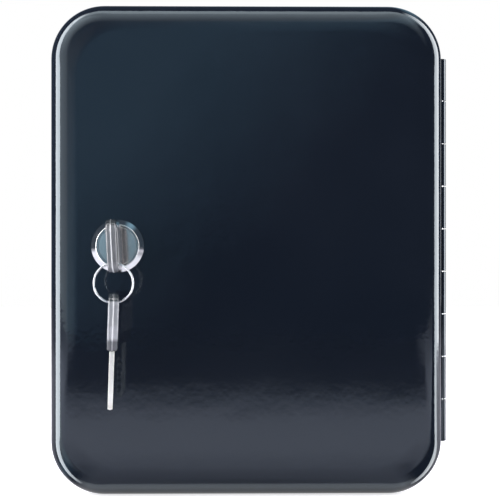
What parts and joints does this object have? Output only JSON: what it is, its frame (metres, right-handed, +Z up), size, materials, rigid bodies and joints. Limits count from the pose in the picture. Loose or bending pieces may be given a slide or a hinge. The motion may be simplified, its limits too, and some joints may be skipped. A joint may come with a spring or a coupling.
{
  "type": "key cabinet",
  "caption": "Small wall cabinet for keys: black drawn-steel body and door on a piano hinge, cam lock with its key, a spare key on a ring, hook rails inside.",
  "frame": {"origin": "centre of the four wall holes, on the outer back face", "axes": "+Z up, +Y into the wall, door faces -Y, hinge on the +X side"},
  "size_m": [0.1648, 0.1092, 0.2],
  "materials": {
    "painted_steel": "black semi-gloss stoved paint with a light orange peel",
    "zinc_steel": "bright zinc plated",
    "lock_chrome": "polished chrome plate on zinc die casting",
    "wafer_brass": "stamped, plain",
    "nickel_blade": "bright nickel plated",
    "smoked_plastic": "smoked grey, moulded, glossy",
    "ring_steel": "bright nickel plated spring wire",
    "rail_paint": "light grey stoved paint, satin",
    "label_film": "white self-adhesive film",
    "card_stock": "white coated card"
  },
  "bodies": {
    "body": {"body_shell": "painted_steel", "hinge_leaf_body": "painted_steel", "hinge_pin": "zinc_steel", "strike_bracket": "zinc_steel", "hook_rail_1": "rail_paint", "hook_rail_2": "rail_paint", "hook_rail_3": "rail_paint", "hook_rail_4": "rail_paint", "rail_rivets": "zinc_steel", "number_labels_1": "label_film", "number_labels_2": "label_film", "number_labels_3": "label_film", "number_labels_4": "label_film"},
    "door": {"door_shell": "painted_steel", "hinge_leaf_door": "painted_steel", "lock_housing": "lock_chrome", "lock_washer": "zinc_steel", "lock_nut": "zinc_steel", "index_card": "card_stock"},
    "lock_core": {"lock_plug": "lock_chrome", "wafers": "wafer_brass", "wafer_springs": "zinc_steel", "turn_stop": "zinc_steel", "lock_cam": "zinc_steel", "cam_washer": "zinc_steel", "cam_screw": "zinc_steel"},
    "key": {"key_blade": "nickel_blade", "key_head": "smoked_plastic"},
    "ring": {"split_ring": "ring_steel"},
    "spare_key": {"spare_key_blade": "nickel_blade", "spare_key_head": "smoked_plastic"}
  },
  "joints": [
    {"name": "door_swing", "type": "hinge", "parent": "body", "child": "door", "pos_m": [0.0826, -0.058, 0], "axis": [0, 0, 1], "range_deg": [0, 180]},
    {"name": "lock_turn", "type": "hinge", "parent": "door", "child": "lock_core", "pos_m": [-0.052, -0.08, 0.0016], "axis": [0, 1, 0], "range_deg": [0, 93]},
    {"name": "key_slide", "type": "slide", "parent": "lock_core", "child": "key", "axis": [0, -1, 0], "range_m": [0, 0.026]},
    {"name": "ring_hang", "type": "hinge", "parent": "key", "child": "ring", "pos_m": [-0.0521, -0.0987, -0.00797], "axis": [0, 1, 0], "range_deg": [-93, 0]},
    {"name": "spare_swing", "type": "hinge", "parent": "ring", "child": "spare_key", "pos_m": [-0.05164, -0.0987, -0.02039], "axis": [1, 0, 0], "range_deg": [-40, 22]}
  ],
  "couplings": [
    {"joint": "ring_hang", "follows": "lock_turn", "ratio": -1}
  ]
}
